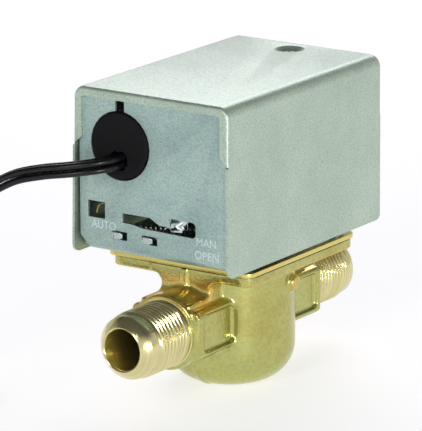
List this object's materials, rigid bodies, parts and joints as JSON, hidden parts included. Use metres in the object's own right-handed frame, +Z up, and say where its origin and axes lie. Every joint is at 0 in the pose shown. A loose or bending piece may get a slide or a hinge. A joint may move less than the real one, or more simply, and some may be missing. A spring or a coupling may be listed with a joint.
{
  "type": "zone valve",
  "caption": "Two-port motorised zone valve: brass bowl body with flare ends, steel spring-return head with manual opener and lead wires",
  "frame": {"origin": "middle of the flat foot under the bowl", "axes": "+Z up, the stem's direction; the flow runs along Y; the front with the lever slot and wire bushing faces -Y; +X is the right side seen from the front"},
  "size_m": [0.1, 0.1698, 0.1018],
  "materials": {
    "brass_casting": "cast and machined brass",
    "zinc_steel": "zinc-plated sheet steel",
    "bright_steel": "bright plated steel",
    "black_wire": "black wire insulation",
    "rubber_black": "moulded rubber",
    "switch_black": "moulded phenolic",
    "nylon_natural": "natural nylon"
  },
  "bodies": {
    "housing": {"body_seal_ring": "rubber_black", "cover": "zinc_steel", "cover_screw": "bright_steel", "head_frame": "zinc_steel", "head_screw_1": "bright_steel", "head_screw_2": "bright_steel", "lead_1": "black_wire", "lead_2": "black_wire", "lead_3": "black_wire", "lead_4": "black_wire", "lead_coil": "black_wire", "lever_pivot": "bright_steel", "motor_can": "zinc_steel", "motor_plate": "zinc_steel", "motor_screw_1": "bright_steel", "motor_screw_2": "bright_steel", "motor_spacer_1": "bright_steel", "motor_spacer_2": "bright_steel", "plate_screw_1": "bright_steel", "plate_screw_2": "bright_steel", "plate_screw_3": "bright_steel", "plate_screw_4": "bright_steel", "return_spring": "bright_steel", "seat_bush": "bright_steel", "spring_post": "bright_steel", "stem_packing": "rubber_black", "stem_plate": "brass_casting", "switch_body": "switch_black", "switch_screw_1": "bright_steel", "switch_screw_2": "bright_steel", "valve_body": "brass_casting", "wire_bushing": "rubber_black"},
    "stem": {"valve_stem": "bright_steel", "ball_arm": "nylon_natural", "ball_plug": "rubber_black", "sector_gear": "bright_steel"},
    "pinion": {"motor_pinion": "bright_steel"},
    "lever": {"manual_lever": "bright_steel"},
    "button": {"switch_button": "nylon_natural"}
  },
  "joints": [
    {"name": "stem_turn", "type": "hinge", "parent": "housing", "child": "stem", "pos_m": [0.0085, 0.004, 0.024], "axis": [0, 0, 1], "range_deg": [-43.5, 10], "deforming": ["return_spring"]},
    {"name": "pinion_turn", "type": "hinge", "parent": "housing", "child": "pinion", "pos_m": [-0.00375, 0.02522, 0.055], "axis": [0, 0, 1], "range_deg": [-75, 320]},
    {"name": "lever_swing", "type": "hinge", "parent": "housing", "child": "lever", "pos_m": [-0.0047, -0.007, 0.0581], "axis": [0, 0, 1], "range_deg": [-35, 9]},
    {"name": "switch_press", "type": "slide", "parent": "housing", "child": "button", "axis": [0, -1, 0], "range_m": [0, 0.0008], "stiffness_N_per_m": 150}
  ],
  "couplings": [
    {"joint": "pinion_turn", "follows": "stem_turn", "ratio": -7.2},
    {"joint": "lever_swing", "follows": "stem_turn", "ratio": 0.8}
  ]
}
